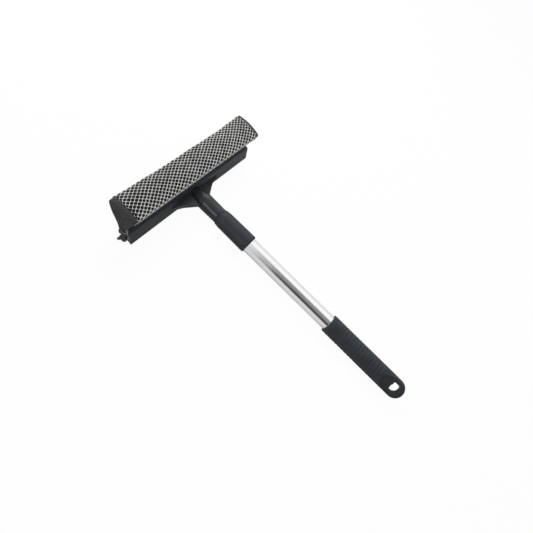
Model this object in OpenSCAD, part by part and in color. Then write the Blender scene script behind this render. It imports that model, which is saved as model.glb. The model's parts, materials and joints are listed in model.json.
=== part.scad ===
// Two-in-one window cleaning squeegee on a telescopic handle.
// One side of the head carries a sponge under a knitted net, the other a
// rubber blade. X runs along the head, +Y points from the grip to the head
// and +Z is up, on the sponge side. The tool lies on its blade's edge and its
// grip, on Z = 0, and the origin is under the middle of its box.

/* [Head] */
// Length of the moulded head along the blade
head_len = 255; // [200:1:360]
// How far the sponge stands out past each end of the head
sponge_over = 3; // [1:0.5:4]
// Bare sponge at each end, where the net stops short
net_inset = 6.5; // [3:0.5:12]
// Thickness of the knitted net
net_t = 0.9; // [0.6:0.1:1.2]
// Depth of the sponge's working face, from its near edge to its far edge
face_w = 38.9; // [34:0.1:42]
// Height of the working face's edges over the handle's axis
face_z = 37.6; // [35:0.1:42]
// How much the working face is crowned between its edges
face_crown = 2.4; // [1:0.1:4]
// Half width of the yoke where it leaves the head
yoke_half = 35.7; // [30:0.1:50]

/* [Handle] */
// Length from the head's lower edge to the grip's round end
handle_len = 384.2; // [360:0.1:460]
// Diameter of the neck at the yoke
neck_d = 22.7; // [22.4:0.1:25]
// Diameter of the outer tube
tube_d = 22; // [21.9:0.1:22.2]
// Wall of the outer tube
tube_wall = 0.6; // [0.5:0.05:0.7]
// Diameter of the inner tube
inner_d = 19; // [18.8:0.1:19.1]
// Wall of the inner tube
inner_wall = 0.8; // [0.6:0.1:1.2]
// Largest diameter of the sleeve on the tube's end
sleeve_d = 26.2; // [25.8:0.1:28]
// Largest diameter of the grip
grip_d = 27.7; // [26.5:0.1:30]

/* [Grip] */
// Grooves round the grip
groove_count = 13; // [6:1:15]
// Pitch of those grooves
groove_pitch = 5.8; // [4:0.1:6]
// Depth of those grooves
groove_depth = 0.5; // [0.2:0.1:0.8]
// Width of the hanging hole
hang_w = 14.6; // [10:0.1:16]
// Turn of the hanging hole about the handle, from the sponge's side
hang_turn = 54.5; // [0:0.5:90]

/* [Hidden] */
$fn = 64;
eps = 0.02;

// ---- head section, in [y, z] from the handle's axis and the skirt's edge ----
skirt_low = [-0.3, -5.5];
skirt_fold = [6.7, 8.1];
skirt_top = [11.2, 11.6];
skirt_t = 2.5;
end_bevel = 2.9;
rib_first = 55;
rib_pitch = 17.5;
end_rib = 3.4;

// The clamp's groove leans forward: u runs across it and v up out of it
groove_o = [13.16, 3.84];
groove_lean = 32;
groove_half = 4.3;
groove_wall = 2.6;
groove_floor = 1.6;
near_lip = 5.3;
far_lip = 2.8;
clamp_t = 0.8;
clamp_over = 1.4;
clamp_short = 1;
sponge_base = groove_half - clamp_t - net_t;
function in_groove(u, v) = groove_o
    + u * [cos(groove_lean), -sin(groove_lean)]
    + v * [sin(groove_lean), cos(groove_lean)];

// Blade: a round bead in a socket, and a lip that points down and forward
bead_o = [11.2, -3.8];
bead_r = 2.7;
bead_play = 0.15;
socket_r = 5;
blade_turn = 31;
blade_root_t = 3.2;
blade_tip_t = 2.6;
slot_play = 0.2;
axis_z = grip_d / 2;
blade_len = (axis_z + bead_o[1] - blade_tip_t / 2 * sin(blade_turn))
    / cos(blade_turn);

// ---- sponge outline, from the clamp up its near side and down its far side ----
near_y = 5.6 + net_t;
far_y = near_y - 2 * net_t + face_w;
near_r = 3;
far_r = 2.2;
near_o = [near_y + near_r, face_z - net_t + 0.6 - near_r];
far_o = [far_y - far_r, face_z - net_t + 0.8 - far_r];
function bez(a, b, c, d, t) = pow(1 - t, 3) * a + 3 * pow(1 - t, 2) * t * b
    + 3 * (1 - t) * t * t * c + pow(t, 3) * d;
function curve(a, b, c, d, n) = [for (i = [0 : n]) bez(a, b, c, d, i / n)];
function arc(o, r, a0, a1, n) =
    [for (i = [0 : n]) o + r * [cos(a0 + (a1 - a0) * i / n), sin(a0 + (a1 - a0) * i / n)]];
crown_a = near_o + [0, near_r];
crown_b = far_o + [0, far_r];
function crown(t) = crown_a + t * (crown_b - crown_a) + [0, 4 * face_crown * t * (1 - t)];
sponge_path = concat(
    [in_groove(-sponge_base, clamp_t)],
    curve(in_groove(-sponge_base, near_lip + 1.5), in_groove(-sponge_base - 0.6, near_lip + 5),
          near_o + [-near_r + 0.6, -11], near_o + [-near_r, -1], 8),
    arc(near_o, near_r, 180, 100, 4),
    [for (i = [1 : 11]) crown(i / 12)],
    arc(far_o, far_r, 80, -20, 5),
    curve(far_o + [far_r - 0.8, -2.5], far_o + [-6.2, -15.5],
          in_groove(sponge_base - 0.4, far_lip + 17), in_groove(sponge_base, far_lip + 1.5), 10),
    [in_groove(sponge_base, clamp_t)]);

// Foot of the bare ends, which fills the clamp where the net stops short
bare_len = net_inset - sponge_over - clamp_short / 2;
clamp_bore = groove_half - clamp_t;
sponge_foot = [[-clamp_bore, clamp_t], [clamp_bore, clamp_t], [clamp_bore, far_lip],
               [sponge_base, far_lip + 1.5], [-sponge_base, near_lip + 1.5], [-clamp_bore, near_lip]];

// Each point of a path, moved out to its left side by d
function side(a, b) = let (v = b - a) [-v[1], v[0]] / norm(v);
function moved(p, d) = [for (i = [0 : len(p) - 1]) let (
    n = side(p[max(i - 1, 0)], p[min(i + 1, len(p) - 1)])) p[i] + d * n];
function reversed(p) = [for (i = [len(p) - 1 : -1 : 0]) p[i]];

// ---- yoke and neck ----
yoke_top = 1.5;
yoke_plate = 2.4;
yoke_rim = 2.2;
yoke_rib_x = 22;
yoke_join = 13.9;
yoke_flare = 12;
neck_end_d = neck_d - 0.8;
neck_start = -13;
neck_end = -43.5;
neck_front_r = 8.2;
socket_end = -7;
screw_y = -28;
screw_r = 1.5;
screw_head_r = 3;
screw_seat = 1.4;

// ---- handle stations along Y ----
joint_gap = 0.4;
sleeve_front = neck_end - joint_gap;
sleeve_len = 52.8;
sleeve_back = sleeve_front - sleeve_len;
sleeve_lip = 1.3;
sleeve_bevel = 7.5;
sleeve_body_d = sleeve_d - 1;
sleeve_nose_d = sleeve_body_d - 1.6;
bush_len = 6.8;
bush_play = 0.05;
fit = 0.02;
tube_front = sleeve_front - sleeve_lip - bush_len;
crimp_y = -86;
crimp_half = 1;
crimp_run = 1.1;
crimp_depth = 0.55;
grip_front = -245;
grip_taper = 0.3;
hang_end = 7.7;
hang_h = 14;
eye_half = 6;
eye_sweep = 55;
thumb_r = 17;
thumb_depth = 1.2;
thumb_at = 45.9;
thumb_turn = 42;
eye_o = hang_end + hang_w / 2;
grip_back = -handle_len;
eye_y = grip_back + grip_d / 2;
full_y = grip_back + 56;
tube_back = grip_back + 42.4;

// ---- twist lock, at the inner tube's hidden end ----
outer_bore = tube_d / 2 - tube_wall;
lock_y = tube_back + 34;
flange_t = 2;
plug_len = 14;
rod_r = 2.5;
rod_len = 22;
rod_play = 0.06;
dowel_gap = 0.3;
dowel_len = 16;
dowel_ring = 4;
dowel_play = 0.05;
dowel_slots = 4;
slot_w = 1.2;
cone_len = 10.5;
cone_small = 5.6;
cone_big = 8.2;
cone_play = 0.05;
key_w = 0.9;
key_r = 9.4;
nut_r = 4.6;
nut_t = 2.4;

// ---- place of the whole tool ----
front_y = far_y + net_t;
shift_y = -(front_y + grip_back) / 2;

module placed() { translate([0, shift_y, axis_z]) children(); }
module along_x(l) { rotate([90, 0, 90]) linear_extrude(l, center = true) children(); }
module along_y(y) { translate([0, y, 0]) rotate([-90, 0, 0]) children(); }
module turned_y() { rotate([-90, 0, 0]) rotate_extrude() children(); }

// ================================ head ================================
module in_groove_frame() { translate(groove_o) rotate(-groove_lean) children(); }
module in_blade_frame() { translate(bead_o) rotate(blade_turn - 90) children(); }

module skirt_2d() {
    polygon([skirt_low, skirt_fold, skirt_top, in_groove(-groove_half, near_lip),
             in_groove(-groove_half, -groove_floor),
             skirt_low + [skirt_t + 3, 6], skirt_low + [skirt_t, 0]]);
}

module groove_2d() {
    in_groove_frame() {
        translate([-groove_half - 1, -groove_floor])
            square([2 * groove_half + groove_wall + 1, groove_floor]);
        translate([groove_half, -groove_floor])
            square([groove_wall, far_lip + groove_floor]);
        translate([groove_half + groove_wall / 2, far_lip]) circle(groove_wall / 2);
    }
}

module frame_2d() {
    difference() {
        union() {
            skirt_2d();
            groove_2d();
            translate(bead_o) circle(socket_r);
            // web that carries the socket from the groove's floor
            polygon([in_groove(-2.6, -groove_floor / 2), in_groove(groove_half, -groove_floor / 2),
                     bead_o + [bead_r, bead_r], bead_o + [-bead_r, bead_r]]);
        }
        translate(bead_o) circle(bead_r + bead_play);
        in_blade_frame()
            translate([0, -blade_root_t / 2 - slot_play])
                square([2 * socket_r, blade_root_t + 2 * slot_play]);
    }
}

// Thin wall across the hollow between the skirt and the blade's socket
module skirt_rib() {
    along_x(1.8) polygon([skirt_low + [1.4, 0.3], skirt_low + [5, 6.9],
                          in_groove(-groove_half + 0.6, -groove_floor / 2),
                          in_groove(0, -groove_floor / 2), bead_o + [-1.4, 4.4],
                          bead_o + [-3.6, 2.9], bead_o + [-4.4, 0]]);
}

// Slanting cuts that take the head's corners back from the fold
module end_bevels() {
    for (s = [-1, 1]) scale([s, 1, 1]) {
        translate([0, 4.4, 0]) rotate([90, 0, 0]) linear_extrude(12)
            polygon([[head_len / 2, skirt_fold[1]],
                     [head_len / 2 - end_bevel, skirt_low[1] - 0.1],
                     [head_len / 2 + 4, skirt_low[1] - 0.1],
                     [head_len / 2 + 4, skirt_fold[1]]]);
        translate([0, 12.6, 0]) rotate([90, 0, 0]) linear_extrude(20)
            polygon([[head_len / 2, skirt_fold[1]], [head_len / 2 + 4, skirt_fold[1]],
                     [head_len / 2 + 4, skirt_top[1] + 1],
                     [head_len / 2 - end_bevel - 1, skirt_top[1] + 1]]);
    }
}

// Half of the fan's outline, flared where it leaves the skirt
function fan_half(inset) = let (
    root = [yoke_half - 1.6 * inset, -0.4 * inset],
    tip = [neck_d / 2 - 1, -yoke_join + 1.1 * inset],
    mid = root + 0.35 * (tip - root))
    concat([[0, tip[1]], tip],
           curve(mid, mid + 0.6 * (root - mid), root + [yoke_flare / 3, 0],
                 root + [yoke_flare, 2.2], 6));

module fan_2d(inset) {
    for (s = [0, 1]) mirror([s, 0])
        polygon(concat(fan_half(inset), [[yoke_half + yoke_flare - 2 * inset, 4], [0, 4]]));
}

module yoke() {
    difference() {
        translate([0, 0, skirt_low[1]])
            linear_extrude(yoke_top - skirt_low[1]) fan_2d(0);
        translate([0, 0, skirt_low[1] - 1])
            linear_extrude(yoke_top - yoke_plate - skirt_low[1] + 1) fan_2d(yoke_rim);
        // the skirt's own slope trims the fan's back
        along_x(2 * head_len) polygon([skirt_low + [0.4, 0], skirt_fold, [20, skirt_fold[1]], [20, skirt_low[1]]]);
    }
    // one stiffening rib under each wing of the fan
    intersection() {
        translate([0, 0, skirt_low[1]]) linear_extrude(yoke_top - skirt_low[1]) fan_2d(1);
        for (s = [-1, 1])
            translate([s * yoke_rib_x, -8, 0]) cube([1.8, 16.4, 2 * yoke_top - 2 * skirt_low[1]],
                                                    center = true);
    }
}

module neck_solid() {
    along_y(neck_end)
        cylinder(h = neck_start - neck_end, d1 = neck_end_d, d2 = neck_d);
    hull() {
        along_y(neck_start) cylinder(h = 0.5, d = neck_d, $fn = 32);
        translate([0, 0, -0.4]) along_y(5.5) cylinder(h = 0.5, r = neck_front_r, $fn = 32);
    }
}

module head_frame() {
    color("#26282d") placed() {
        difference() {
            union() {
                along_x(head_len) frame_2d();
                for (x = [rib_first : rib_pitch : head_len / 2 - 5], s = [-1, 1])
                    translate([s * x, 0, 0]) skirt_rib();
                for (s = [-1, 1])
                    translate([s * (head_len / 2 - end_rib), 0, 0]) skirt_rib();
                yoke();
                neck_solid();
            }
            end_bevels();
            along_y(neck_end - 1)
                cylinder(h = socket_end - neck_end + 1, d = inner_d + 2 * fit);
            along_y(neck_end - 0.01)
                cylinder(h = 0.6, r1 = inner_d / 2 + 0.5, r2 = inner_d / 2);
            translate([0, screw_y, -neck_d]) cylinder(h = neck_d, r = screw_r + fit);
            translate([0, screw_y, -neck_d - 2])
                cylinder(h = neck_d / 2 + 2 + screw_seat, r = screw_head_r + 0.2);
        }
    }
}

module sponge() {
    color("#3c3c3a") placed() {
        along_x(head_len + 2 * sponge_over) polygon(sponge_path);
        for (s = [-1, 1])
            translate([s * (head_len - clamp_short - bare_len) / 2, 0, 0])
                along_x(bare_len) in_groove_frame() polygon(sponge_foot);
    }
}

module sponge_net() {
    color("#c9c9c6") placed()
        along_x(head_len + 2 * sponge_over - 2 * net_inset)
            polygon(concat(moved(sponge_path, net_t), reversed(sponge_path)));
}

module sponge_clamp() {
    color("#8f9498") placed() along_x(head_len - clamp_short) in_groove_frame() difference() {
        translate([-groove_half, 0])
            square([2 * groove_half, near_lip + clamp_over]);
        translate([-groove_half + clamp_t, clamp_t])
            square([2 * (groove_half - clamp_t), near_lip + 2]);
        translate([0, far_lip + clamp_over])
            square([2 * groove_half, near_lip]);
    }
}

module blade() {
    color("#17181a") placed() along_x(head_len) {
        translate(bead_o) circle(bead_r);
        in_blade_frame() polygon([
            [0, -blade_root_t / 2], [blade_len - 5, -blade_root_t / 2],
            [blade_len, -blade_tip_t / 2], [blade_len, blade_tip_t / 2],
            [blade_len - 5, blade_root_t / 2], [0, blade_root_t / 2]]);
    }
}

module neck_screw() {
    color("#b5b8ba") placed() translate([0, screw_y, 0]) {
        seat = -neck_d / 2 + screw_seat;
        translate([0, 0, seat]) cylinder(h = 4.2, r = screw_r);
        difference() {
            translate([0, 0, seat - 1.2]) cylinder(h = 1.2, r1 = 2.2, r2 = screw_head_r);
            for (a = [0, 90]) rotate(a)
                translate([0, 0, seat - 1.2]) cube([3, 0.7, 1.2], center = true);
        }
    }
}

// ============================= inner tube =============================
module inner_tube() {
    color("#b9bcbe") placed() difference() {
        along_y(lock_y) cylinder(h = socket_end - lock_y - 0.2, d = inner_d);
        along_y(lock_y - 1) cylinder(h = socket_end - lock_y + 2, d = inner_d - 2 * inner_wall);
        translate([0, screw_y, -inner_d]) cylinder(h = inner_d, r = screw_r + fit);
    }
}

module lock_spindle() {
    color("#d8d8d4") placed() turned_y() polygon([
        [0, lock_y + plug_len], [inner_d / 2 - inner_wall - 0.8, lock_y + plug_len],
        [inner_d / 2 - inner_wall - fit, lock_y + plug_len - 1.2],
        [inner_d / 2 - inner_wall - fit, lock_y], [outer_bore - 0.35, lock_y],
        [outer_bore - 0.35, lock_y - flange_t], [rod_r, lock_y - flange_t],
        [rod_r, lock_y - flange_t - rod_len + 0.6], [rod_r - 0.6, lock_y - flange_t - rod_len],
        [0, lock_y - flange_t - rod_len]]);
}

module lock_nut() {
    color("#b5b8ba") placed() difference() {
        along_y(lock_y - flange_t - rod_len + 1) cylinder(h = nut_t, r = nut_r, $fn = 6);
        along_y(lock_y - flange_t - rod_len) cylinder(h = nut_t + 3, r = rod_r);
    }
}

dowel_front = lock_y - flange_t - dowel_gap;
dowel_back = dowel_front - dowel_len;
cone_back = dowel_back + 0.6;

// Split sleeve that the cone spreads against the outer tube's bore
module lock_dowel() {
    color("#e4e2d8") placed() difference() {
        along_y(dowel_back) cylinder(h = dowel_len, r = outer_bore - dowel_play);
        along_y(dowel_back - 1) cylinder(h = dowel_len + 2, r = rod_r + 0.3);
        along_y(cone_back) cylinder(h = cone_len, r1 = cone_big + cone_play,
                                    r2 = cone_small + cone_play);
        along_y(dowel_back - 1)
            cylinder(h = cone_back - dowel_back + 1 + eps, r = cone_big + cone_play);
        for (a = [0 : 360 / dowel_slots : 359]) rotate([0, a, 0])
            translate([-slot_w / 2, dowel_back - 1, rod_r + 1])
                cube([slot_w, dowel_len - dowel_ring + 1, outer_bore]);
    }
}

// Tapered nut on the rod, kept from turning by two keys in the dowel's slots
module lock_cone() {
    color("#7d8286") placed() difference() {
        union() {
            along_y(cone_back) cylinder(h = cone_len - 0.5, r1 = cone_big,
                r2 = cone_small + (cone_big - cone_small) * 0.5 / cone_len);
            for (a = [0, 180]) rotate([0, a, 0])
                translate([-key_w / 2, cone_back, 4])
                    cube([key_w, cone_len - 2, key_r - 4]);
        }
        along_y(cone_back - 1) cylinder(h = cone_len + 2, r = rod_r + rod_play);
    }
}

// ============================= outer tube =============================
module outer_tube() {
    ro = tube_d / 2;
    c = crimp_half;
    w = crimp_half + crimp_run;
    color("#d4d6d8") placed() turned_y() polygon([
        [ro, tube_front], [ro, crimp_y + w], [ro - crimp_depth, crimp_y + c],
        [ro - crimp_depth, crimp_y - c], [ro, crimp_y - w], [ro, tube_back],
        [outer_bore, tube_back], [outer_bore, crimp_y - w],
        [outer_bore - crimp_depth, crimp_y - c], [outer_bore - crimp_depth, crimp_y + c],
        [outer_bore, crimp_y + w], [outer_bore, tube_front]]);
}

// Smooth tapered sleeve; a rib inside snaps into the tube's crimp
module end_sleeve() {
    bore = tube_d / 2 + fit;
    nose = sleeve_nose_d / 2;
    body = sleeve_body_d / 2;
    rim = sleeve_d / 2;
    color("#303238") placed() turned_y() polygon(concat([
        [inner_d / 2 + 0.4, sleeve_front], [nose, sleeve_front],
        [body, sleeve_front - sleeve_bevel]],
        arc([rim - 2, sleeve_back + 2], 2, 0, -90, 6),
        [[bore, sleeve_back], [bore, crimp_y - crimp_half - crimp_run],
        [bore - crimp_depth, crimp_y - crimp_half], [bore - crimp_depth, crimp_y + crimp_half],
        [bore, crimp_y + crimp_half + crimp_run], [bore, sleeve_front - sleeve_lip],
        [inner_d / 2 + 0.4, sleeve_front - sleeve_lip]]));
}

// Low-friction ring between the sleeve's lip and the tube's end
module guide_bush() {
    color("#d9d7cc") placed() difference() {
        along_y(tube_front) cylinder(h = bush_len, d = tube_d);
        along_y(tube_front - 1) cylinder(h = bush_len + 2, d = inner_d + 2 * bush_play);
    }
}

module tube_plug() {
    color("#1d1e20") placed() turned_y() polygon([
        [0, tube_back + 7], [outer_bore - 1.2, tube_back + 7],
        [outer_bore - fit, tube_back + 5.5], [outer_bore - fit, tube_back],
        [tube_d / 2, tube_back], [tube_d / 2, tube_back - 1.5], [0, tube_back - 1.5]]);
}

// ================================ grip ================================
grip_nose_r = grip_d / 2 - grip_taper;
last_groove = grip_back + 47.2;
function grip_r(y) = grip_nose_r + grip_taper * min(1, (grip_front - y) / (grip_front - full_y));
function groove(y) = [[grip_r(y), y + 1], [grip_r(y) - groove_depth, y + 0.3],
                      [grip_r(y) - groove_depth, y - 0.3], [grip_r(y), y - 1]];

module grip_solid() {
    turned_y() polygon(concat(
        [[0, grip_front], [grip_nose_r - 0.8, grip_front], [grip_nose_r, grip_front - 0.8]],
        [for (i = [groove_count - 1 : -1 : 0], p = groove(last_groove + i * groove_pitch)) p],
        arc([0, eye_y], grip_d / 2, 0, -90, 14)));
}

// Both faces of the eye: flat round the hole, swept out to the round grip
module eye_cut() {
    for (s = [-1, 1]) scale([1, 1, s]) along_x(2 * grip_d) polygon(concat(
        arc([eye_y, eye_half + eye_sweep], eye_sweep, -90, -55, 8),
        [[eye_y + eye_sweep, grip_d], [grip_back - 1, grip_d], [grip_back - 1, eye_half]]));
}

// D-shaped hanging hole, its flat side towards the tube
module hang_hole() {
    r = hang_w / 2;
    translate([0, grip_back + eye_o, -30]) {
        cylinder(h = 60, r = r);
        translate([-r, 0, 0]) cube([hang_w, hang_h - r, 60]);
    }
}

// Shallow hollow for the thumb, across one edge of the eye's root
module thumb_hollow() {
    translate([grip_d / 2 + thumb_r - thumb_depth, grip_back + thumb_at, -grip_d])
        cylinder(h = 2 * grip_d, r = thumb_r);
}

module grip() {
    color("#2b2f30") placed() difference() {
        grip_solid();
        rotate([0, -hang_turn, 0]) {
            eye_cut();
            hang_hole();
        }
        rotate([0, -thumb_turn, 0]) thumb_hollow();
        along_y(tube_back) cylinder(h = 300, r = tube_d / 2);
        along_y(tube_back - 1.5) cylinder(h = 2, r = tube_d / 2);
    }
}

head_frame();
sponge();
sponge_net();
sponge_clamp();
blade();
inner_tube();
neck_screw();
lock_spindle();
lock_nut();
lock_cone();
lock_dowel();
outer_tube();
end_sleeve();
guide_bush();
tube_plug();
grip();
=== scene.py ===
"""Dresses a two-in-one window squeegee on a telescopic handle.

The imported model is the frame: X runs along the head, +Y points from the grip
to the head and +Z is up, on the sponge's side. Lengths are in metres.
"""

from __future__ import annotations

import json
import logging
import math
import random
from dataclasses import dataclass, field
from enum import Enum
from typing import Sequence, Union

import bpy
from mathutils import Matrix, Vector

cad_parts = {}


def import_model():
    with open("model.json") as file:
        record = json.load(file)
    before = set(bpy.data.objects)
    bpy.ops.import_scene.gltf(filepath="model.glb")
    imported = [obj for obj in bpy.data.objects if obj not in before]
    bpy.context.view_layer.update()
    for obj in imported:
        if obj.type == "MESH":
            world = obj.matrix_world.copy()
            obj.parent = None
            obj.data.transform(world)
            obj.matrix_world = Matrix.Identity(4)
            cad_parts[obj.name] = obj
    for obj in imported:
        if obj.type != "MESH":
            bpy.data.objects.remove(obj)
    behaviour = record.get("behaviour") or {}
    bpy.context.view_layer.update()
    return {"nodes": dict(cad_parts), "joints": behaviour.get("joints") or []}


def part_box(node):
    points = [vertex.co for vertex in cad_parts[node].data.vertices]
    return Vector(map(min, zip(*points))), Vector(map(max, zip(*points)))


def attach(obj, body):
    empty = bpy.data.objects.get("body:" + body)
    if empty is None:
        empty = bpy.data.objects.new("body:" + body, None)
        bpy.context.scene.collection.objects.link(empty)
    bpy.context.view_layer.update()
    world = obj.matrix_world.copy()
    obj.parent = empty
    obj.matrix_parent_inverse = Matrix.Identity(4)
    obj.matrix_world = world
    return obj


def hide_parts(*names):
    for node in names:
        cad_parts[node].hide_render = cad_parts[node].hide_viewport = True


LOG = logging.getLogger("squeegee")
MM = 0.001
# Vertices closer than this are one.
DOUBLE = 0.002 * MM
# The net's UV map holds its flat places in metres.
NET_MAP = "net_flat"
# The parts of a strand between two knots, and the points round a hole.
STRAND_POINTS = 3
HOLE_POINTS = 4 * STRAND_POINTS
# The net's front stands this far before the head's lower edge.
SPONGE_FRONT = 44.5 * MM
WHITE = (1.0, 1.0, 1.0)
Colour = tuple[float, float, float]
Point2 = tuple[float, float]


class Slot(str, Enum):
    """Material slots of the record."""

    HEAD = "head_plastic"
    SLEEVE = "sleeve_plastic"
    GRIP = "grip_rubber"
    BLADE = "blade_rubber"
    FOAM = "foam"
    NET = "net"
    CLAMP = "clamp_metal"
    TUBE = "tube_chrome"
    INNER = "inner_aluminium"
    LOCK = "lock_plastic"
    CONE = "cone_metal"
    FASTENER = "fastener"
    PLUG = "plug_plastic"


# ------------------------------------------------------------------ shader kit


class Sock:
    """A shader socket that takes part in Python sums and products."""

    def __init__(self, book: "NodeBook", socket: bpy.types.NodeSocket) -> None:
        """Keeps the socket and the book whose tree it belongs to."""
        self.book = book
        self.socket = socket

    def _math(self, operation: str, *others: "Value", flip: bool = False) -> "Sock":
        """Adds a Math node of this socket and the other values.

        Args:
            operation: The Math node's operation.
            others: The values of its other inputs.
            flip: Whether this socket is the second input.

        Returns:
            The node's output.
        """
        values: list[Value] = [self, *others]
        if flip:
            values.reverse()
        return self.book.add("ShaderNodeMath", {"operation": operation}, dict(enumerate(values)))

    def __add__(self, other: "Value") -> "Sock":
        """Returns the sum."""
        return self._math("ADD", other)

    __radd__ = __add__

    def __mul__(self, other: "Value") -> "Sock":
        """Returns the product."""
        return self._math("MULTIPLY", other)

    __rmul__ = __mul__

    def __sub__(self, other: "Value") -> "Sock":
        """Returns the difference."""
        return self._math("SUBTRACT", other)

    def __rsub__(self, other: "Value") -> "Sock":
        """Returns the difference from another value."""
        return self._math("SUBTRACT", other, flip=True)

    def step(self, low: float, high: float) -> "Sock":
        """Rises smoothly from 0 to 1.

        Args:
            low: The value up to which it stays 0.
            high: The value from which it stays 1.

        Returns:
            The risen value.
        """
        settings = {"interpolation_type": "SMOOTHSTEP", "clamp": True}
        values = {"Value": self, "From Min": low, "From Max": high}
        return self.book.add("ShaderNodeMapRange", settings, values)


Value = Union[float, Sequence[float], Sock]


class NodeBook:
    """Adds nodes to one shader tree."""

    def __init__(self, tree: bpy.types.NodeTree) -> None:
        """Empties the tree and keeps it."""
        self.tree = tree
        tree.nodes.clear()

    def add(
        self,
        kind: str,
        settings: dict[str, object] | None = None,
        values: dict[str | int, Value] | None = None,
        out: str | int = 0,
    ) -> Sock:
        """Adds a node.

        Args:
            kind: The node's type.
            settings: Its properties, set first.
            values: Values or links of its input sockets, by name or index.
            out: The output to return, by name or index.

        Returns:
            That output.
        """
        node = self.tree.nodes.new(kind)
        for name, setting in (settings or {}).items():
            setattr(node, name, setting)
        for name, value in (values or {}).items():
            if isinstance(value, Sock):
                self.tree.links.new(value.socket, node.inputs[name])
            else:
                node.inputs[name].default_value = value
        return Sock(self, node.outputs[out] if len(node.outputs) else None)

    def place(self) -> Sock:
        """Returns the object's own coordinates."""
        return self.add("ShaderNodeTexCoord", out="Object")

    def noise(self, vector: Sock, size: float, detail: float = 3.0, rough: float = 0.5) -> Sock:
        """Returns noise, from 0 to 1, whose features are about size metres across."""
        values = {"Vector": vector, "Scale": 1 / size, "Detail": detail, "Roughness": rough}
        return self.add("ShaderNodeTexNoise", {}, values)

    def stretched(self, vector: Sock, scale: Sequence[float]) -> Sock:
        """Returns the vector with its axes scaled."""
        return self.add("ShaderNodeMapping", {}, {"Vector": vector, "Scale": scale})

    def blend(self, factor: Value, first: Value, second: Value) -> Sock:
        """Returns a colour between two colours."""
        values = {"Factor": factor, 6: first, 7: second}
        return self.add("ShaderNodeMix", {"data_type": "RGBA"}, values, out=2)

    def bump(self, height: Sock, depth: float) -> Sock:
        """Returns a normal from a height in 0 to 1, depth metres deep."""
        return self.add("ShaderNodeBump", {}, {"Height": height, "Distance": depth})

    def axes(self, vector: Sock, names: str) -> list[Sock]:
        """Returns the vector's parts along the named axes, such as XY."""
        kind, values = "ShaderNodeSeparateXYZ", {"Vector": vector}
        return [self.add(kind, {}, values, out=name) for name in names]

    def ray(self, kind: str) -> Sock:
        """Returns 1 for a ray of the kind, such as Glossy, and 0 for any other."""
        return self.add("ShaderNodeLightPath", out=f"Is {kind} Ray")


def rgba(colour: Colour) -> tuple[float, float, float, float]:
    """Returns the colour with full alpha."""
    return (*colour, 1.0)


def shade(colour: Colour, factor: float) -> tuple[float, float, float, float]:
    """Returns the colour made lighter or darker, with full alpha."""
    return rgba(tuple(min(1.0, part * factor) for part in colour))


# -------------------------------------------------------------------- finishes


@dataclass(frozen=True)
class Finish:
    """A finish with its colour and roughness; subclasses add their texture."""

    slot: Slot
    colour: Colour
    roughness: float

    def _surface(self, book: NodeBook, place: Sock) -> dict[str, Value]:
        """Returns the Principled shader's values."""
        raise NotImplementedError("a finish says how its surface looks")

    def make(self) -> bpy.types.Material:
        """Makes the finish.

        Returns:
            The new material, named for its slot.
        """
        material = bpy.data.materials.new(self.slot.value)
        material.use_nodes = True
        book = NodeBook(material.node_tree)
        values = self._surface(book, book.place())
        shader = book.add("ShaderNodeBsdfPrincipled", {}, values)
        book.add("ShaderNodeOutputMaterial", {}, {"Surface": shader})
        return material


@dataclass(frozen=True)
class Moulded(Finish):
    """Moulded plastic: fine spark grain and slight flow marks."""

    grain: float = 0.35 * MM
    depth: float = 0.02 * MM
    patches: float = 14 * MM
    variation: float = 0.16
    specular: float = 0.5

    def _surface(self, book: NodeBook, place: Sock) -> dict[str, Value]:
        """Mixes flow marks with spark grain.

        Args:
            book: The material's nodes.
            place: The piece's own coordinates.

        Returns:
            The Principled shader's values.
        """
        flow = book.noise(place, self.patches, detail=4.0, rough=0.55)
        grain = book.noise(place, self.grain, detail=2.0)
        colour = book.blend(
            flow.step(0.3, 0.7),
            shade(self.colour, 1 - self.variation),
            shade(self.colour, 1 + self.variation),
        )
        return {
            "Base Color": colour,
            "Roughness": flow * 0.12 + grain * 0.06 + (self.roughness - 0.09),
            "Specular IOR Level": self.specular,
            "Normal": book.bump(grain, self.depth),
        }


@dataclass(frozen=True)
class HighlitEnds(Moulded):
    """Moulded plastic with a painted highlight: its skirt is paler towards the head's two ends,
    where the end faces catch the light.
    """

    end_highlight: Colour = (0.17, 0.18, 0.19)
    highlight_from: float = 124.6 * MM
    highlit: float = 127.0 * MM
    skirt_front: float = 176 * MM
    fade: float = 1 * MM
    patch: float = 2.5 * MM

    def _surface(self, book: NodeBook, place: Sock) -> dict[str, Value]:
        """Paints a highlight on the skirt at the head's ends.

        Args:
            book: The material's nodes.
            place: The piece's own coordinates.

        Returns:
            The Principled shader's values.
        """
        values = super()._surface(book, place)
        x, y = book.axes(place, "XY")
        # Painted highlight: the skirt turns paler in patches near the head's two ends.
        ends = (x * x).step(self.highlight_from**2, self.highlit**2)
        skirt = 1 - y.step(self.skirt_front - self.fade, self.skirt_front + self.fade)
        patchy = book.noise(place, self.patch, rough=0.6).step(0.1, 0.5)
        highlit = ends * skirt * patchy
        values["Base Color"] = book.blend(highlit, values["Base Color"], rgba(self.end_highlight))
        return values


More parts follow.
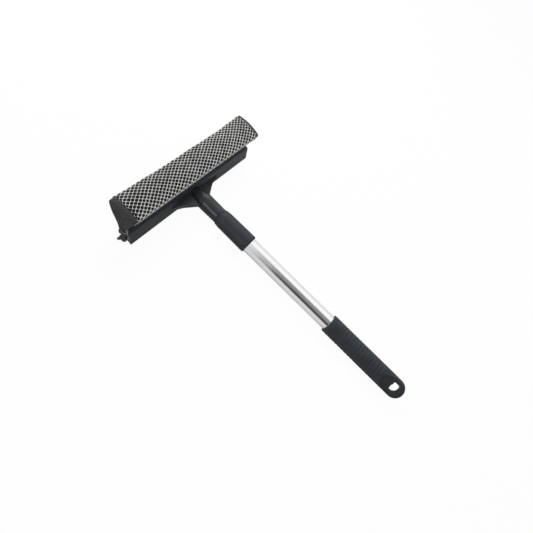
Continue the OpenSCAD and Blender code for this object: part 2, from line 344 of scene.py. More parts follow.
@dataclass(frozen=True)
class Rubber(Finish):
    """Soft rubber: matt, faintly mottled, with a fine skin."""

    skin: float = 0.5 * MM
    cloud: float = 9 * MM
    depth: float = 0.04 * MM
    bloom: float = 0.25
    specular: float = 0.42

    def _surface(self, book: NodeBook, place: Sock) -> dict[str, Value]:
        """Mixes cloudy mottling with a fine skin.

        Args:
            book: The material's nodes.
            place: The piece's own coordinates.

        Returns:
            The Principled shader's values.
        """
        cloud = book.noise(place, self.cloud, detail=5.0, rough=0.6)
        skin = book.noise(place, self.skin, rough=0.6)
        colour = book.blend(
            cloud.step(0.25, 0.75),
            shade(self.colour, 1 - self.bloom),
            shade(self.colour, 1 + self.bloom),
        )
        return {
            "Base Color": colour,
            "Roughness": cloud * 0.14 + (self.roughness - 0.07),
            "Specular IOR Level": self.specular,
            "Normal": book.bump(skin, self.depth),
        }


@dataclass(frozen=True)
class BladeRubber(Rubber):
    """The blade's rubber, greyer in patches towards its lower, wiping edge."""

    low_grey: Colour = (0.085, 0.083, 0.08)
    edge: Point2 = (2.4 * MM, 6.0 * MM)
    patch: float = 4 * MM

    def _surface(self, book: NodeBook, place: Sock) -> dict[str, Value]:
        """Greys the rubber in patches towards the wiping edge.

        Args:
            book: The material's nodes.
            place: The piece's own coordinates.

        Returns:
            The Principled shader's values.
        """
        values = super()._surface(book, place)
        (height,) = book.axes(place, "Z")
        # The rubber turns greyer in patches below a height of 2.4 to 6 mm.
        patchy = book.noise(place, self.patch, rough=0.6).step(0.15, 0.5)
        low_grey_mask = (1 - height.step(*self.edge)) * patchy
        values["Base Color"] = book.blend(low_grey_mask, values["Base Color"], rgba(self.low_grey))
        return values


@dataclass(frozen=True)
class Foam(Finish):
    """Open-cell foam: dark pores of two sizes, and painted shade where the net covers it."""

    pore: float = 1.1 * MM
    fine_pore: float = 0.5 * MM
    lump: float = 3 * MM
    mottle: float = 18 * MM
    depth: float = 0.5 * MM
    net_shade: Point2 = (-123.5 * MM, 125.5 * MM)
    net_shade_fade: float = 2 * MM
    net_shade_tone: float = 0.1

    def _surface(self, book: NodeBook, place: Sock) -> dict[str, Value]:
        """Mixes pores of two sizes, and paints shade on what the net covers.

        Args:
            book: The material's nodes.
            place: The piece's own coordinates.

        Returns:
            The Principled shader's values.
        """
        lumps = book.noise(place, self.lump, detail=2.0)
        cells = book.add(
            "ShaderNodeTexVoronoi", {"feature": "F1"}, {"Vector": place, "Scale": 1 / self.pore}
        )
        fine = book.noise(place, self.fine_pore, rough=0.65)
        height = cells.step(0.12, 0.6) * 0.7 + fine * 0.3
        broad = book.noise(place, self.mottle, detail=2.0)
        tone = height * 0.55 + broad * 0.3 + lumps * 0.15
        colour = book.blend(
            tone.step(0.2, 0.75), shade(self.colour, 0.62), shade(self.colour, 1.25)
        )
        # Painted shade: the foam is darkened along the stretch that the net covers, for the net's
        # shade.
        (x,) = book.axes(place, "X")
        low, high = self.net_shade
        net_shade = x.step(low, low + self.net_shade_fade) * (1 - x.step(high - self.net_shade_fade, high))
        colour = book.blend(net_shade, colour, shade(self.colour, self.net_shade_tone))
        return {
            "Base Color": colour,
            "Roughness": self.roughness,
            "Specular IOR Level": 0.15,
            "Sheen Weight": 0.12,
            "Normal": book.bump(height, self.depth),
        }


@dataclass(frozen=True)
class Yarn(Finish):
    """Soft textured yarn of the knitted net, read along the net's own UV map."""

    fibre: float = 0.5 * MM
    loop: float = 1.4 * MM
    soil: float = 30 * MM
    depth: float = 0.22 * MM
    hem: Colour = (0.86, 0.86, 0.84)
    hem_width: float = 1.9 * MM

    def _surface(self, book: NodeBook, place: Sock) -> dict[str, Value]:
        """Mixes fibres, loops and soil, and lightens the near hem.

        Args:
            book: The material's nodes.
            place: The piece's own coordinates.

        Returns:
            The Principled shader's values.
        """
        flat = book.add("ShaderNodeUVMap", {"uv_map": NET_MAP})
        fibres = book.noise(flat, self.fibre, rough=0.6)
        loops = book.noise(place, self.loop, detail=2.0)
        soil = book.noise(place, self.soil)
        tone = fibres * 0.5 + loops * 0.3 + soil * 0.2
        colour = book.blend(
            tone.step(0.3, 0.68), shade(self.colour, 0.74), shade(self.colour, 1.08)
        )
        (across,) = book.axes(flat, "Y")
        hem = 1 - across.step(self.hem_width * 0.5, self.hem_width)
        colour = book.blend(hem, colour, rgba(self.hem))
        return {
            "Base Color": colour,
            "Roughness": self.roughness,
            "Specular IOR Level": 0.2,
            "Sheen Weight": 0.2,
            "Normal": book.bump(fibres * 0.6 + loops * 0.4, self.depth),
        }


@dataclass(frozen=True)
class Metal(Finish):
    """Drawn or turned metal: long fine lines along Y and faint smudges.

    A bare share below 1 stands for a dull anodised or oxidised skin.
    """

    line: float = 0.25 * MM
    draw: float = 60.0
    depth: float = 0.002 * MM
    smudge: float = 0.06
    smudge_size: float = 22 * MM
    bare: float = 1.0

    def _surface(self, book: NodeBook, place: Sock) -> dict[str, Value]:
        """Mixes drawn lines with smudges.

        Args:
            book: The material's nodes.
            place: The piece's own coordinates.

        Returns:
            The Principled shader's values.
        """
        drawn = book.stretched(place, (1.0, 1 / self.draw, 1.0))
        lines = book.noise(drawn, self.line, detail=2.0)
        smudge = book.noise(place, self.smudge_size, detail=4.0, rough=0.6)
        colour = book.blend(
            lines.step(0.25, 0.75), shade(self.colour, 0.93), shade(self.colour, 1.05)
        )
        return {
            "Base Color": colour,
            "Metallic": self.bare,
            "Roughness": smudge.step(0.35, 0.75) * self.smudge + lines * 0.03 + self.roughness,
            "Normal": book.bump(lines, self.depth),
        }


# ------------------------------------------------------------------ mesh tools


def new_mesh(
    name: str,
    points: Sequence[Vector],
    faces: Sequence[Sequence[int]],
    flat: Sequence[Point2] | None = None,
) -> bpy.types.Object:
    """Makes a mesh object at the origin.

    Args:
        name: The piece's name.
        points: Its vertices.
        faces: Its faces, by vertex index.
        flat: Each vertex's place on the flat cloth, if it has one.

    Returns:
        The object.
    """
    mesh = bpy.data.meshes.new(name)
    mesh.from_pydata([tuple(point) for point in points], [], [tuple(face) for face in faces])
    if flat is not None:
        layer = mesh.uv_layers.new(name=NET_MAP)
        for loop in mesh.loops:
            layer.data[loop.index].uv = flat[loop.vertex_index]
    mesh.validate()
    piece = bpy.data.objects.new(name, mesh)
    bpy.context.scene.collection.objects.link(piece)
    return piece


def select_only(piece: bpy.types.Object) -> None:
    """Makes a piece the only selected and active object.

    Args:
        piece: The piece.
    """
    bpy.ops.object.select_all(action="DESELECT")
    piece.select_set(True)
    bpy.context.view_layer.objects.active = piece


def outward(piece: bpy.types.Object) -> None:
    """Merges a piece's doubles and points its faces outwards.

    Args:
        piece: The piece.
    """
    select_only(piece)
    bpy.ops.object.mode_set(mode="EDIT")
    bpy.ops.mesh.select_all(action="SELECT")
    bpy.ops.mesh.remove_doubles(threshold=DOUBLE)
    bpy.ops.mesh.normals_make_consistent(inside=False)
    bpy.ops.object.mode_set(mode="OBJECT")


def smooth(piece: bpy.types.Object, angle: float = 40.0) -> None:
    """Shades a piece smooth below an angle in degrees."""
    select_only(piece)
    bpy.ops.object.shade_smooth_by_angle(angle=math.radians(angle))


def soften(node: bpy.types.Object, width: float, angle: float = 32.0) -> None:
    """Rounds a CAD node's hard edges with modifiers.

    Args:
        node: The node's object.
        width: The bevel's width in metres.
        angle: The least angle in degrees that counts as an edge.
    """
    weld = node.modifiers.new("weld", "WELD")
    weld.merge_threshold = DOUBLE
    join = node.modifiers.new("join", "DECIMATE")
    join.decimate_type = "DISSOLVE"
    join.angle_limit = math.radians(0.5)
    edge = node.modifiers.new("edge", "BEVEL")
    edge.width = width
    edge.segments = 2
    edge.limit_method = "ANGLE"
    edge.angle_limit = math.radians(angle)
    edge.miter_outer = "MITER_ARC"
    edge.use_clamp_overlap = True
    edge.harden_normals = True


def dress(piece: bpy.types.Object, material: bpy.types.Material) -> None:
    """Gives a piece one material."""
    piece.data.materials.clear()
    piece.data.materials.append(material)


# ---------------------------------------------------------------------- frame


def portion(value: float, start: float, span: float) -> float:
    """Returns how far a value has come from start along span, held to 0 and 1."""
    return max(0.0, min(1.0, (value - start) / span))


@dataclass(frozen=True)
class Datum:
    """The handle's axis and the head's lower edge, which sizes are counted from."""

    y: float
    z: float

    def at(self, x: float, point: Point2) -> Vector:
        """Returns a place from x and a section point, both in metres."""
        return Vector((x, self.y + point[0], self.z + point[1]))


def bezier(a: Point2, b: Point2, c: Point2, d: Point2, count: int) -> list[Point2]:
    """Runs a cubic curve.

    Args:
        a: Its start.
        b: The handle at its start.
        c: The handle at its end.
        d: Its end.
        count: The parts that it is cut into.

    Returns:
        The count + 1 points along it.
    """
    points = []
    for index in range(count + 1):
        t = index / count
        weights = ((1 - t) ** 3, 3 * (1 - t) ** 2 * t, 3 * (1 - t) * t * t, t**3)
        points.append(tuple(sum(w * p[k] for w, p in zip(weights, (a, b, c, d))) for k in (0, 1)))
    return points


def arc(centre: Point2, radius: float, start: float, end: float, count: int) -> list[Point2]:
    """Returns count + 1 points along an arc between two angles in degrees."""
    turns = [math.radians(start + (end - start) * i / count) for i in range(count + 1)]
    return [(centre[0] + radius * math.cos(t), centre[1] + radius * math.sin(t)) for t in turns]


@dataclass(frozen=True)
class Section:
    """The sponge's outline across the head, from inside the clamp round to its other side.

    The groove leans forwards by lean degrees. The foot starts low in it, passes
    the clamp's two lips, and widens to the crowned face between two round
    corners, near and far from the grip. A side is a curve from foot to top, and
    its pulls are the curve's handles, counted from the lips and the corners. A
    corner's turn is its first and last angle in degrees.
    """

    groove: Point2 = (13.16 * MM, 3.84 * MM)
    lean: float = 32.0
    foot_half: float = 2.6 * MM
    foot_low: float = 1 * MM
    lip_gap: float = 1.5 * MM
    near_lip: float = 5.3 * MM
    far_lip: float = 2.8 * MM
    near: Point2 = (9.5 * MM, 34.3 * MM)
    near_r: float = 3.0 * MM
    far: Point2 = (41.4 * MM, 35.3 * MM)
    far_r: float = 2.2 * MM
    crown: float = 2.4 * MM
    near_foot_pull: Point2 = (-0.6 * MM, 5 * MM)
    near_top_pull: Point2 = (0.6 * MM, -11 * MM)
    near_top: Point2 = (0.0, -1 * MM)
    near_turn: Point2 = (180.0, 100.0)
    far_top: Point2 = (-0.8 * MM, -2.5 * MM)
    far_top_pull: Point2 = (-7.0 * MM, -15.5 * MM)
    far_foot_pull: Point2 = (-0.9 * MM, 17 * MM)
    far_turn: Point2 = (80.0, -20.0)
    face_parts: int = 24
    side_parts: tuple[int, int] = (20, 26)
    corner_parts: tuple[int, int] = (6, 7)

    def in_groove(self, across: float, up: float) -> Point2:
        """Returns a section point from the leaning groove's own two axes."""
        c, s = math.cos(math.radians(self.lean)), math.sin(math.radians(self.lean))
        return (self.groove[0] + across * c + up * s, self.groove[1] - across * s + up * c)

    def face(self) -> list[Point2]:
        """Runs the working face, a parabola that rises by the crown in its middle.

        Returns:
            Its inner points.
        """
        start = (self.near[0], self.near[1] + self.near_r)
        end = (self.far[0], self.far[1] + self.far_r)
        points = []
        for index in range(1, self.face_parts):
            t = index / self.face_parts
            rise = 4 * self.crown * t * (1 - t)
            points.append(
                (start[0] + t * (end[0] - start[0]), start[1] + t * (end[1] - start[1]) + rise)
            )
        return points

    def path(self) -> list[Point2]:
        """Runs the outline.

        Returns:
            Its points, from the near side to the far side.
        """
        near, far, foot = self.near, self.far, self.foot_half
        near_edge, far_edge = near[0] - self.near_r, far[0] + self.far_r
        near_side = bezier(
            self.in_groove(-foot, self.near_lip + self.lip_gap),
            self.in_groove(
                -foot + self.near_foot_pull[0], self.near_lip + self.near_foot_pull[1]
            ),
            (near_edge + self.near_top_pull[0], near[1] + self.near_top_pull[1]),
            (near_edge + self.near_top[0], near[1] + self.near_top[1]),
            self.side_parts[0],
        )
        far_side = bezier(
            (far_edge + self.far_top[0], far[1] + self.far_top[1]),
            (far[0] + self.far_top_pull[0], far[1] + self.far_top_pull[1]),
            self.in_groove(foot + self.far_foot_pull[0], self.far_lip + self.far_foot_pull[1]),
            self.in_groove(foot, self.far_lip + self.lip_gap),
            self.side_parts[1],
        )
        return [
            self.in_groove(-foot, self.foot_low),
            *near_side,
            *arc(near, self.near_r, *self.near_turn, self.corner_parts[0]),
            *self.face(),
            *arc(far, self.far_r, *self.far_turn, self.corner_parts[1]),
            *far_side,
            self.in_groove(foot, self.foot_low),
        ]


class Track:
    """A path that is read by the distance along it."""

    def __init__(self, points: Sequence[Point2]) -> None:
        """Measures the path.

        Args:
            points: The path's points.
        """
        self.points = list(points)
        self.marks = [0.0]
        for a, b in zip(self.points, self.points[1:]):
            self.marks.append(self.marks[-1] + math.dist(a, b))
        self.length = self.marks[-1]

    def at(self, distance: float) -> Point2:
        """Finds a point of the path.

        Args:
            distance: How far along the path it lies.

        Returns:
            The point.
        """
        distance = min(max(distance, 0.0), self.length)
        index = 1
        while index < len(self.marks) - 1 and self.marks[index] < distance:
            index += 1
        share = (distance - self.marks[index - 1]) / (self.marks[index] - self.marks[index - 1])
        a, b = self.points[index - 1], self.points[index]
        return (a[0] + share * (b[0] - a[0]), a[1] + share * (b[1] - a[1]))

    def normal(self, distance: float, reach: float = 0.8 * MM) -> Point2:
        """Finds the path's left side, which is outwards.

        Args:
            distance: How far along the path.
            reach: How far to either side the path's run is read.

        Returns:
            The unit normal.
        """
        a, b = self.at(distance - reach), self.at(distance + reach)
        dy, dz = b[0] - a[0], b[1] - a[1]
        size = math.hypot(dy, dz)
        return (-dz / size, dy / size)


@dataclass(frozen=True)
class Stretch:
    """How the net's meshes lie once it is pulled over the foam; sizes in millimetres.

    Meshes count up with U along the head and with V round the foam. The net is
    bunched up on the left third, its columns lean as they go round, and its rows
    drift along the head and stand a little closer on the far side.
    """

    columns: float = 0.1158
    bunch: float = 0.0194
    bunch_at: float = -79.5
    bunch_width: float = 43.5
    lean: float = -0.0160
    lean_more: float = 0.00079
    rows: float = 0.1977
    rows_more: float = 0.00032
    rows_reach: float = 18.0
    drift: tuple[float, float, float] = (0.106, -0.015, -0.043)
    drift_unit: float = 100.0
    middle: float = 48.0
    start: Point2 = (0.669, 0.290)
    rounds: int = 12

    def _bunched(self, x: float) -> float:
        """Returns the running sum of the bunched meshes up to x."""
        reach = self.bunch * self.bunch_width * math.sqrt(math.pi) / 2
        return reach * math.erf((x - self.bunch_at) / self.bunch_width)

    def count(self, x: float, s: float) -> Point2:
        """Counts the meshes up to a place on the flat net.

        Args:
            x: The place along the head, in millimetres.
            s: The place round the foam, in millimetres.

        Returns:
            The counts U and V.
        """
        t, far = s - self.middle, x / self.drift_unit
        bend = max(-self.rows_reach, min(self.rows_reach, t))
        u = self.start[0] + self.columns * x + self._bunched(x) - self._bunched(0.0)
        u += (self.lean + self.lean_more * far) * t
        v = self.start[1] + self.rows * t + self.rows_more * bend * (2 * t - bend)
        v += sum(part * far ** (power + 1) for power, part in enumerate(self.drift))
        return u, v

    def place(self, u: float, v: float) -> Point2:
        """Finds where a mesh lies, by rounds of correction.

        Args:
            u: Its count along the head.
            v: Its count round the foam.

        Returns:
            Its place on the flat net, in metres.
        """
        x, s = (u - self.start[0]) / self.columns, self.middle + (v - self.start[1]) / self.rows
        for _ in range(self.rounds):
            at = self.count(x, s)
            x += (u - at[0]) / (self.columns + self.bunch / 2)
            s += (v - at[1]) / self.rows
        return x * MM, s * MM


# ----------------------------------------------------------------------- head


@dataclass
class SpongeSide:
    """The foam block and the knitted net that is stretched over it.

    The foam swells towards the head's ends, most at its far side and its top,
    and its foot is drawn in to the clamp's ends.
    """

    datum: Datum
    carrier: str = "head"
    section: Section = field(default_factory=Section)
    left: float = -130.0 * MM
    right: float = 132.0 * MM
    foot_half: float = 127.5 * MM
    foot_rise: Point2 = (0.5 * MM, 6.5 * MM)
    ring_parts: int = 96
    slices: int = 80
    rounding: tuple[Point2, ...] = ((0.5 * MM, 0.993), (0.0, 0.97))
    end_rings: tuple[float, ...] = (0.85, 0.65, 0.45, 0.25)
    dent: float = 0.2 * MM
    dent_turns: Point2 = (900.0, 700.0)
    net_left: float = -124.4 * MM
    net_right: float = 126.6 * MM
    net_rise: float = 0.15 * MM
    stretch: Stretch = field(default_factory=Stretch)
    strand: float = 0.85 * MM
    knob: float = 0.22 * MM
    tucked: float = 0.35 * MM
    unrest: float = 0.14 * MM
    edge: float = 0.9 * MM
    hole: Point2 = (0.59, 0.67)
    hole_sizes: Point2 = (0.93, 1.07)
    hole_margin: float = 1.04
    round_off: tuple[Point2, ...] = ((0.4, 0.9), (0.8, 0.5), (1.0, 0.0))
    seed: int = 7
    flare_left: float = 1.2 * MM
    flare_right: float = 2.2 * MM
    flare_power: int = 4
    waist: float = 0.7 * MM
    swell_from: Point2 = (14 * MM, 10 * MM)
    swell_over: Point2 = (26 * MM, 24 * MM)
    waves: tuple[tuple[float, float, float], ...] = (
        (0.25 * MM, 61.0, 0.7),
        (0.15 * MM, 143.0, 0.0),
    )
    corner: float = 1.3 * MM
    corner_power: int = 8
    corner_behind: float = 15 * MM
    corner_over: float = 8 * MM

    def spread(self, x: float, point: Point2) -> Point2:
        """Moves a section point as the foam swells towards the head's ends.

        Args:
            x: The place along the head.
            point: The section point.

        Returns:
            The moved point.
        """
        far_share, high_share = (
            portion(point[k], self.swell_from[k], self.swell_over[k]) for k in (0, 1)
        )
        near_share = portion(-point[0], -self.corner_behind, self.corner_over)
        reach, flare = (-self.left, self.flare_left) if x < 0 else (self.right, self.flare_right)
        swell = flare * (x / reach) ** self.flare_power - self.waist * (1 - (x / reach) ** 2)
        wave = sum(height * math.sin(x * turns + shift) for height, turns, shift in self.waves)
        corner = self.corner * (max(0.0, x) / self.right) ** self.corner_power * near_share
        return (point[0] + ((swell + wave) * far_share - corner) * high_share, point[1])

    def tuck(self, x: float, point: Point2) -> float:
        """Returns x with the foam's foot drawn in to the clamp's ends.

        Args:
            x: The place along the head.
            point: The section point.

        Returns:
            The moved x.
        """
        groove = self.section
        lean = math.radians(groove.lean)
        rise = (point[0] - groove.groove[0]) * math.sin(lean)
        rise += (point[1] - groove.groove[1]) * math.cos(lean)
        low = 1 - portion(rise, *self.foot_rise)
        low = low * low * (3 - 2 * low)
        reach = -self.left if x < 0 else self.right
        return x * (1 - low * (reach - self.foot_half) / reach)

    def block(self) -> bpy.types.Object:
        """Models the foam block, a closed crowned form with softened ends.

        Returns:
            The block.
        """
        track = Track(self.section.path())
        parts, span = self.ring_parts, self.right - self.left
        ring = [track.at(track.length * i / parts) for i in range(parts + 1)]
        middle = tuple(sum(point[k] for point in ring) / len(ring) for k in (0, 1))
        slices = [(self.left + span * i / self.slices, 1.0) for i in range(1, self.slices)]
        for inset, scale in self.rounding:
            slices = [(self.left + inset, scale), *slices, (self.right - inset, scale)]
        points: list[Vector] = []
        faces: list[list[int]] = []
        count = len(ring)

        def add_ring(x: float, scale: float, dent: float = 0.0) -> list[int]:
            """Adds one ring of the block.

            Args:
                x: Its place along the head.
                scale: How far it is shrunk about its middle.
                dent: The height of its waves along the head.

            Returns:
                Its vertices.
            """
            base = len(points)
            for point in ring:
                near = tuple(middle[k] + (point[k] - middle[k]) * scale for k in (0, 1))
                turn = sum(part * turns for part, turns in zip(point, self.dent_turns))
                wave = dent * math.sin(turn)
                points.append(self.datum.at(self.tuck(x, near) + wave, self.spread(x, near)))
            return list(range(base, base + count))

        def bridge(first: list[int], second: list[int]) -> None:
            """Joins two rings with quads.

            Args:
                first: The vertices of one ring.
                second: The vertices of the other.
            """
            for col in range(count):
                nxt = (col + 1) % count
                faces.append([first[col], first[nxt], second[nxt], second[col]])

        rings = [add_ring(x, scale) for x, scale in slices]
        for first, second in zip(rings, rings[1:]):
            bridge(first, second)
        for edge, x in ((rings[0], self.left), (rings[-1], self.right)):
            previous = edge
            for scale in self.end_rings:
                current = add_ring(x, scale, self.dent)
                bridge(previous, current)
                previous = current
            faces.append(previous)
        piece = new_mesh("sponge_block", points, faces)
        outward(piece)
        smooth(piece, angle=50.0)
        return piece

    def net(self) -> bpy.types.Object:
        """Models the net: rows of diamond meshes with rounded holes.

        Each hole is a cell of its own, whose outer rim runs through four knots and
        along the middle of the strands between them. Neighbours share that rim.

        Returns:
            The net.
        """
        track = Track(self.section.path())
        chance = random.Random(self.seed)
        pulls: dict[tuple[int, int], Point2] = {}
        points: list[Vector] = []
        flat: list[Point2] = []
        faces: list[list[int]] = []
        shared: dict[tuple, int] = {}

        def knot(i: int, j: int) -> Point2:
            """Finds a knot on the flat net, pulled a little out of its place.

            Args:
                i: Its count of half meshes along the head.
                j: Its count of half meshes round the foam.

            Returns:
                Its place.
            """
            if (i, j) not in pulls:
                x, s = self.stretch.place(i / 2, j / 2)
                x += chance.uniform(-self.unrest, self.unrest)
                s += chance.uniform(-self.unrest, self.unrest)
                x = max(self.net_left, min(self.net_right, x))
                pulls[(i, j)] = (x, max(0.0, min(track.length, s)))
            return pulls[(i, j)]

        def vertex(x: float, s: float, height: float) -> int:
            """Adds a vertex.

            Args:
                x: Its place along the head.
                s: Its place round the foam.
                height: Its height over the foam.

            Returns:
                Its index.
            """
            foot, up = track.at(s), track.normal(s)
            foot = self.spread(x, foot)
            place = (foot[0] + up[0] * height, foot[1] + up[1] * height)
            points.append(self.datum.at(x, place))
            flat.append((x, s))
            return len(points) - 1

        def rim_point(one: tuple[int, int], two: tuple[int, int], step: int) -> tuple:
            """Finds a point on the strand between two knots.

            Args:
                one: The knot that it starts from.
                two: The knot that it runs to.
                step: How many of the strand's parts the point lies along it.

            Returns:
                The point's key, which is the same from both knots, and its place.
            """
            a, b = knot(*one), knot(*two)
            t = step / STRAND_POINTS
            x, s = a[0] + (b[0] - a[0]) * t, a[1] + (b[1] - a[1]) * t
            key = (one, one, 0) if step == 0 else (one, two, step)
            if step and one > two:
                key = (two, one, STRAND_POINTS - step)
            return key, (x, s)

        def mesh_cell(i: int, j: int) -> None:
            """Adds the strands' inner halves round one hole.

            Args:
                i: The hole's count of half meshes along the head.
                j: The hole's count of half meshes round the foam.
            """
            corners = [(i + 1, j), (i, j + 1), (i - 1, j), (i, j - 1)]
            size = chance.uniform(*self.hole_sizes)
            right, up, left, down = (Vector(knot(*corner)) for corner in corners)
            centre = (right + up + left + down) / 4
            whole = [self.stretch.place(i / 2, (j + side) / 2)[1] for side in (-1, 1)]
            cut = min(1.0, self.hole_margin * (up - down)[1] / (whole[1] - whole[0]))
            across = (right - left) / 2 * self.hole[0] * size * cut * cut
            along = (up - down) / 2 * self.hole[1] * size
            top: list[int] = []
            low: list[int] = []
            rim: list[Point2] = []
            for k in range(HOLE_POINTS):
                side, step = divmod(k, STRAND_POINTS)
                key, spot = rim_point(corners[side], corners[(side + 1) % 4], step)
                rim.append(spot)
                knob = self.knob if step == 0 else 0.0
                for level, ring in ((self.strand + knob, top), (-self.tucked, low)):
                    if (key, level > 0) not in shared:
                        shared[(key, level > 0)] = vertex(*spot, self.net_rise + level)
                    ring.append(shared[(key, level > 0)])
            rings = [top]
            for reach, rise in self.round_off:
                ring = []
                for k, spot in enumerate(rim):
                    turn = math.tau * k / HOLE_POINTS
                    hole = centre + across * math.cos(turn) + along * math.sin(turn)
                    x, s = Vector(spot).lerp(hole, reach)
                    ring.append(vertex(x, s, self.net_rise + self.strand * rise))
                rings.append(ring)
            rings.append(low)
            for upper, lower in zip(rings, rings[1:]):
                for k in range(HOLE_POINTS):
                    nxt = (k + 1) % HOLE_POINTS
                    faces.append([upper[k], upper[nxt], lower[nxt], lower[k]])

        ends = (self.net_left / MM, self.net_right / MM)
        counts = [self.stretch.count(x, s) for x in ends for s in (0.0, track.length / MM)]
        spans = [
            range(math.floor(2 * min(part)) - 2, math.ceil(2 * max(part)) + 3)
            for part in zip(*counts)
        ]
        for j in spans[1]:
            for i in spans[0]:
                x, s = self.stretch.place(i / 2, j / 2)
                inside = self.net_left + self.edge < x < self.net_right - self.edge
                if (i + j) % 2 == 0 and inside and self.edge < s < track.length - self.edge:
                    mesh_cell(i, j)
        piece = new_mesh("knitted_net", points, faces, flat)
        smooth(piece, angle=180.0)
        return piece

    def build(self) -> None:
        block, net = self.block(), self.net()
        dress(block, Foam(Slot.FOAM, (0.048, 0.048, 0.048), 0.95).make())
        dress(net, Yarn(Slot.NET, (0.69, 0.69, 0.67), 0.9).make())
        for piece, node, slot in ((block, "sponge", Slot.FOAM), (net, "sponge_net", Slot.NET)):
            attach(piece, self.carrier)
            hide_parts(node)
            LOG.info("%s: %d faces", piece.name, len(piece.data.polygons))
        girth = Track(self.section.path()).length
        size = (self.net_right - self.net_left, girth)


@dataclass
class HeadFrame:
    """The moulded head with its blade, clamp, screw and stop nut."""

    edge_round: float = 0.45 * MM

    def build(self, nodes: dict[str, bpy.types.Object]) -> None:
        """Rounds the moulding's edges and dresses the head's hard pieces.

        Args:
            nodes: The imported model's objects, by name.
        """
        soften(nodes["head_frame"], self.edge_round)
        moulding = HighlitEnds(
            Slot.HEAD, (0.032, 0.036, 0.044), 0.38, depth=0.004 * MM, specular=0.25
        )
        dress(nodes["head_frame"], moulding.make())
        dress(nodes["blade"], BladeRubber(Slot.BLADE, (0.013, 0.013, 0.014), 0.55).make())
        dress(nodes["sponge_clamp"], Metal(Slot.CLAMP, (0.34, 0.35, 0.37), 0.42, bare=0.3).make())
        fastener = Metal(Slot.FASTENER, (0.55, 0.56, 0.57), 0.3, draw=1.0).make()
        dress(nodes["neck_screw"], fastener)
        dress(nodes["lock_nut"], fastener)
        LOG.info("head frame dressed")


# --------------------------------------------------------------------- handle


@dataclass
class Handle:
    """The outer tube with its sleeve, grip and plug."""

    sleeve_grain: float = 0.05 * MM
    grip_skin: float = 0.02 * MM

    def build(self, nodes: dict[str, bpy.types.Object]) -> None:
        """Dresses the handle's pieces.

        Args:
            nodes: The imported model's objects, by name.
        """
        tube = Metal(Slot.TUBE, (0.945, 0.945, 0.95), 0.055, draw=80.0)
        sleeve = Moulded(
            Slot.SLEEVE, (0.023, 0.025, 0.033), 0.6, depth=self.sleeve_grain, specular=0.32
        )
        grip = Rubber(
            Slot.GRIP, (0.032, 0.038, 0.043), 0.68, depth=self.grip_skin, specular=0.3
        )
        plug = Moulded(Slot.PLUG, (0.02, 0.02, 0.022), 0.5)
        dress(nodes["outer_tube"], tube.make())
        dress(nodes["end_sleeve"], sleeve.make())
        dress(nodes["grip"], grip.make())
        dress(nodes["tube_plug"], plug.make())
        LOG.info("handle dressed")


@dataclass
class TwistLock:
    """The inner tube and the lock at its hidden end."""

    nylon_nodes: tuple[str, ...] = ("lock_spindle", "lock_dowel", "guide_bush")

    def build(self, nodes: dict[str, bpy.types.Object]) -> None:
        """Dresses the inner tube and the lock's pieces.

        Args:
            nodes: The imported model's objects, by name.
        """
        dress(nodes["inner_tube"], Metal(Slot.INNER, (0.70, 0.71, 0.72), 0.22, draw=90.0).make())
        nylon = Moulded(Slot.LOCK, (0.66, 0.64, 0.57), 0.5).make()
        for name in self.nylon_nodes:
            dress(nodes[name], nylon)
        dress(nodes["lock_cone"], Metal(Slot.CONE, (0.40, 0.41, 0.42), 0.45, draw=1.0).make())
        LOG.info("twist lock dressed")


# --------------------------------------------------------------------- studio


@dataclass(frozen=True)
class Lamp:
    """A soft light aimed at the object; a gloss-only one shows in reflections alone."""

    name: str
    place: tuple[float, float, float]
    aim: tuple[float, float, float]
    width: float
    height: float
    power: float
    gloss_only: bool = False

    def hang(self) -> None:
        """Adds the light at its place, turned to its aim."""
        data = bpy.data.lights.new(self.name, "AREA")
        data.shape = "RECTANGLE"
        data.size, data.size_y = self.width, self.height
        data.energy = self.power
        lamp = bpy.data.objects.new(self.name, data)
        lamp.location = self.place
        way = Vector(self.aim) - Vector(self.place)
        lamp.rotation_euler = way.to_track_quat("-Z", "Y").to_euler()
        lamp.visible_diffuse = not self.gloss_only
        bpy.context.scene.collection.objects.link(lamp)


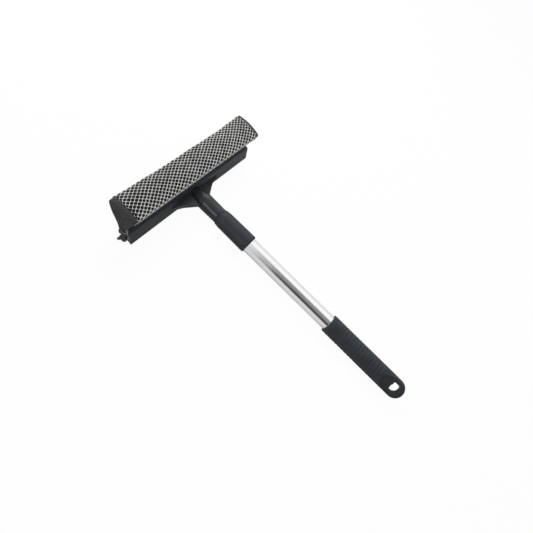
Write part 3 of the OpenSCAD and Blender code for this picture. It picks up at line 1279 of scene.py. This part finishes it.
@dataclass
class Studio:
    """Camera, pale floor, white surround and soft light.

    Reflections alone see a dark card on the camera's side, a grey doorway behind
    the grip and a grey wall across from the camera.
    """

    camera_place: tuple[float, float, float] = (-0.45200, 0.05687, 0.51732)
    right: tuple[float, float, float] = (0.51016, -0.71317, 0.48076)
    up: tuple[float, float, float] = (0.54788, 0.70035, 0.45752)
    lens: float = 34.398
    lamps: tuple[Lamp, ...] = (
        Lamp(
            name="key",
            place=(0.68, 0.83, 1.05),
            aim=(0.0, 0.02, 0.0),
            width=0.7,
            height=0.7,
            power=16.0,
        ),
        Lamp(
            name="strip",
            place=(-0.90, 0.27, 0.33),
            aim=(0.0, 0.14, 0.02),
            width=0.12,
            height=0.26,
            power=3.6,
            gloss_only=True,
        ),
    )
    ambient: Colour = (0.42, 0.42, 0.43)
    card: Colour = (0.056, 0.050, 0.048)
    card_share: Point2 = (0.77, 0.21)
    door_share: float = 0.7
    wall_share: float = 0.3
    floor_size: float = 12.0
    floor_cells: int = 24
    mottle: float = 0.4
    paper: tuple[Colour, Colour] = ((0.92, 0.92, 0.92), (0.94, 0.94, 0.94))
    gloss_paper: Colour = (0.62, 0.62, 0.62)
    glow_seen: float = 0.96
    glow_gloss: float = 0.6
    glow_clear: float = 0.3

    def add_camera(self) -> None:
        """Adds the camera from its place and its two picture axes."""
        data = bpy.data.cameras.new("camera")
        data.sensor_width = 36.0
        data.lens = self.lens
        data.clip_start, data.clip_end = 0.01, 20.0
        camera = bpy.data.objects.new("camera", data)
        right, up = Vector(self.right).normalized(), Vector(self.up).normalized()
        back = right.cross(up).normalized()
        turn = Matrix((right, up, back)).transposed()
        camera.rotation_euler = turn.to_euler()
        camera.location = self.camera_place
        bpy.context.scene.collection.objects.link(camera)
        bpy.context.scene.camera = camera

    def add_floor(self) -> None:
        """Adds the pale floor, which the camera sees whiter than it is lit."""
        bpy.ops.object.select_all(action="DESELECT")
        cells = self.floor_cells
        bpy.ops.mesh.primitive_grid_add(
            x_subdivisions=cells, y_subdivisions=cells, size=self.floor_size
        )
        floor = bpy.context.object
        floor.name = "studio_floor"
        material = bpy.data.materials.new("studio_floor")
        material.use_nodes = True
        book = NodeBook(material.node_tree)
        seen, gloss, clear = (book.ray(kind) for kind in ("Camera", "Glossy", "Transmission"))
        mottle = book.noise(book.place(), self.mottle, detail=2.0)
        pale = book.blend(mottle, rgba(self.paper[0]), rgba(self.paper[1]))
        paper = book.add("ShaderNodeBsdfDiffuse", {}, {"Color": pale})
        tone = book.blend(gloss, rgba(WHITE), rgba(self.gloss_paper))
        glow = book.add("ShaderNodeEmission", {}, {"Color": tone, "Strength": 1.0})
        share = seen * self.glow_seen + gloss * self.glow_gloss + clear * self.glow_clear
        mixed = book.add("ShaderNodeMixShader", {}, {0: share, 1: paper, 2: glow})
        book.add("ShaderNodeOutputMaterial", {}, {"Surface": mixed})
        dress(floor, material)

    def add_world(self) -> None:
        """Adds the even surround with the panels that reflections see.

        A panel's steps name the parts of a direction between which it fades in.
        """
        world = bpy.data.worlds.new("studio")
        bpy.context.scene.world = world
        world.use_nodes = True
        book = NodeBook(world.node_tree)
        way = book.add("ShaderNodeTexCoord", out="Generated")
        x, y, z = book.axes(way, "XYZ")
        left, back = x * -1.0, y * -1.0
        broad, deep = self.card_share
        side = left.step(-0.08, 0.36) * broad + left.step(0.68, 0.92) * deep
        card = side * back.step(-0.09, 0.08)
        door = back.step(0.3, 0.55) * self.door_share * z.step(-0.1, 0.0)
        wall = x.step(0.55, 0.8) * z.step(0.1, 0.25) * (1 - z.step(0.5, 0.64)) * self.wall_share
        dark = 1 - (1 - card) * (1 - door) * (1 - wall)
        mirrored = book.blend(dark, rgba(WHITE), rgba(self.card))
        base = book.blend(book.ray("Glossy"), rgba(self.ambient), mirrored)
        for kind in ("Transmission", "Camera"):
            base = book.blend(book.ray(kind), base, rgba(WHITE))
        sky = book.add("ShaderNodeBackground", {}, {"Color": base, "Strength": 1.0})
        book.add("ShaderNodeOutputWorld", {}, {"Surface": sky})

    def build(self) -> None:
        """Builds the studio."""
        self.add_floor()
        self.add_world()
        for lamp in self.lamps:
            lamp.hang()
        bpy.context.scene.view_settings.view_transform = "Standard"
        LOG.info("studio ready")


def main() -> None:
    """Builds the squeegee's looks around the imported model."""
    logging.basicConfig(level=logging.INFO, format="%(name)s: %(message)s")
    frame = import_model()
    nodes = frame["nodes"]
    studio = Studio()
    studio.add_camera()
    axis = next(joint for joint in frame["joints"] if joint["name"] == "head_twist")
    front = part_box("sponge_net")[1][1]
    datum = Datum(y=front - SPONGE_FRONT, z=axis["pos_m"][2])
    HeadFrame().build(nodes)
    SpongeSide(datum).build()
    Handle().build(nodes)
    TwistLock().build(nodes)
    studio.build()


if __name__ == "__main__":
    main()
